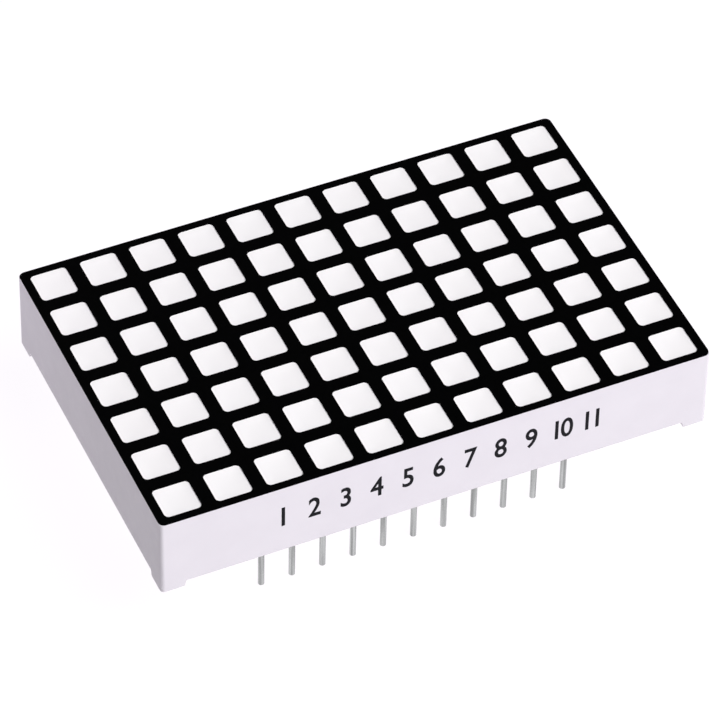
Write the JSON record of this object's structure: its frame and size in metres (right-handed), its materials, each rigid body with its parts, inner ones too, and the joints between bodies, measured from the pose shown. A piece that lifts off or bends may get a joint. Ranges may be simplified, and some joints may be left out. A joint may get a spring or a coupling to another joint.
{
  "type": "led dot matrix",
  "caption": "Rectangular LED dot matrix: black face with a grid of square white windows, white skirted housing with corner feet, and two rows of round solder pins.",
  "frame": {"origin": "centre of the pin pattern, level with the bottoms of the four corner feet, where the module seats on a board", "axes": "+X along the rows of dots, +Y from the long pin row to the short pin row, +Z out of the lit face"},
  "size_m": [0.045, 0.0286, 0.0147],
  "materials": {
    "housing_plastic": "satin moulded white polycarbonate",
    "face_black": "flat black ink coat",
    "diffusing_resin": "white diffusing epoxy, satin",
    "board_laminate": "glass-epoxy laminate",
    "copper": "etched copper foil, gold flash",
    "led_die": "sapphire die",
    "gold_wire": "drawn gold wire",
    "tinned_wire": "bright tinned wire",
    "solder": "tin solder",
    "potting_resin": "poured epoxy, glossy"
  },
  "bodies": {
    "root": {"housing": "housing_plastic", "face_coat": "face_black", "resin_row_1": "diffusing_resin", "resin_row_2": "diffusing_resin", "resin_row_3": "diffusing_resin", "resin_row_4": "diffusing_resin", "resin_row_5": "diffusing_resin", "resin_row_6": "diffusing_resin", "resin_row_7": "diffusing_resin", "circuit_board": "board_laminate", "die_pads": "copper", "bond_pads": "copper", "pin_pads": "copper", "led_dies_row_1": "led_die", "led_dies_row_2": "led_die", "led_dies_row_3": "led_die", "led_dies_row_4": "led_die", "led_dies_row_5": "led_die", "led_dies_row_6": "led_die", "led_dies_row_7": "led_die", "bond_wires_row_1": "gold_wire", "bond_wires_row_2": "gold_wire", "bond_wires_row_3": "gold_wire", "bond_wires_row_4": "gold_wire", "bond_wires_row_5": "gold_wire", "bond_wires_row_6": "gold_wire", "bond_wires_row_7": "gold_wire", "column_pin_1": "tinned_wire", "column_pin_2": "tinned_wire", "column_pin_3": "tinned_wire", "column_pin_4": "tinned_wire", "column_pin_5": "tinned_wire", "column_pin_6": "tinned_wire", "column_pin_7": "tinned_wire", "column_pin_8": "tinned_wire", "column_pin_9": "tinned_wire", "column_pin_10": "tinned_wire", "column_pin_11": "tinned_wire", "row_pin_1": "tinned_wire", "row_pin_2": "tinned_wire", "row_pin_3": "tinned_wire", "row_pin_4": "tinned_wire", "row_pin_5": "tinned_wire", "row_pin_6": "tinned_wire", "row_pin_7": "tinned_wire", "column_solder": "solder", "row_solder": "solder", "potting": "potting_resin"}
  },
  "joints": []
}
